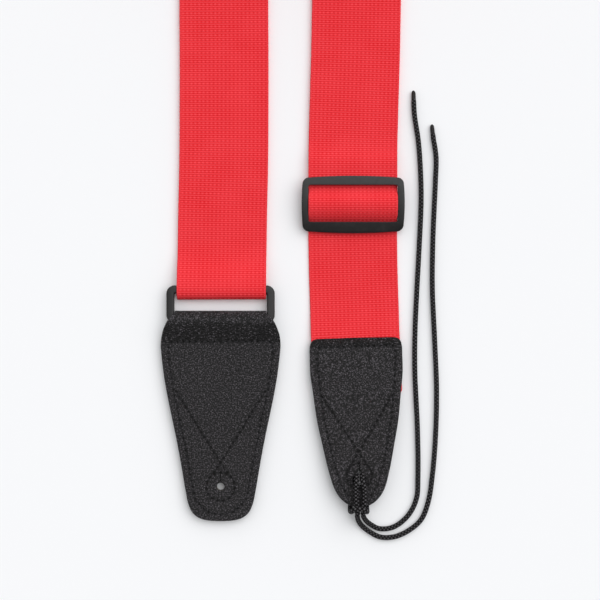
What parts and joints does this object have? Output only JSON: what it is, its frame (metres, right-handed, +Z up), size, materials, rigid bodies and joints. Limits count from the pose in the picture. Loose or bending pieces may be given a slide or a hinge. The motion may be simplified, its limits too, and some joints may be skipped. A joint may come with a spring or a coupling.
{
  "type": "guitar strap",
  "caption": "Adjustable shoulder strap for a guitar: doubled woven webbing with a tri-glide slider, a rectangular ring, a stitched leather tab at each end and a lace hitched to one tab",
  "frame": {"origin": "middle of the strap's bounding box in plan, on the surface it lies on, measured without the lace", "axes": "+Y along the legs towards the far end of the loop, +X towards the leg with the slider, +Z up from the surface"},
  "size_m": [0.1565, 0.4608, 0.0501],
  "materials": {
    "webbing": "woven polyester webbing, matt",
    "leather": "pebbled leather, satin",
    "filler": "raw filler layer between the leathers",
    "thread": "bonded sewing thread",
    "hardware": "satin moulded acetal",
    "lace": "braided nylon cord"
  },
  "bodies": {
    "strap": {"webbing_front_far_loop": "webbing", "webbing_return_far_loop": "webbing", "webbing_front_left_leg": "webbing", "webbing_return_left_leg": "webbing", "webbing_front_right_leg": "webbing", "webbing_return_right_leg": "webbing", "webbing_lower_right_leg": "webbing", "webbing_anchor_end": "webbing", "tab_b_back_leather": "leather", "tab_b_front_leather": "leather", "tab_b_edge_thread_front": "thread", "tab_b_edge_thread_back": "thread", "tab_b_v_thread_front": "thread", "tab_b_v_thread_back": "thread", "lace_hitch": "lace", "lace_inner_tail": "lace", "lace_outer_tail": "lace"},
    "slider": {"tri_glide_slider": "hardware", "webbing_slider_pass": "webbing", "webbing_sewn_end": "webbing", "webbing_end_thread": "thread"},
    "fold": {"webbing_ring_fold": "webbing"},
    "ring": {"rectangular_ring": "hardware"},
    "left_tab": {"tab_a_leather": "leather", "tab_a_filler": "filler", "tab_a_edge_thread_front": "thread", "tab_a_edge_thread_back": "thread", "tab_a_v_thread_front": "thread", "tab_a_v_thread_back": "thread"}
  },
  "joints": [
    {"name": "slider_slide", "type": "slide", "parent": "strap", "child": "slider", "axis": [0.0129, 0.9999, 0], "range_m": [-0.055, 0.08], "deforming": ["webbing_front_right_leg", "webbing_return_right_leg", "webbing_lower_right_leg"]},
    {"name": "ring_travel", "type": "slide", "parent": "strap", "child": "fold", "axis": [-0.0071, -1, 0], "range_m": [-0.028, 0.0405], "deforming": ["webbing_front_left_leg", "webbing_return_left_leg"]},
    {"name": "ring_pivot", "type": "hinge", "parent": "fold", "child": "ring", "pos_m": [-0.03538, -0.09434, 0.0039], "axis": [-1, 0, 0], "range_deg": [-90, 90]},
    {"name": "left_tab_pivot", "type": "hinge", "parent": "ring", "child": "left_tab", "pos_m": [-0.03538, -0.11114, 0.0039], "axis": [-1, 0, 0], "range_deg": [-85, 85]}
  ],
  "couplings": [
    {"joint": "ring_travel", "follows": "slider_slide", "ratio": 0.5}
  ]
}
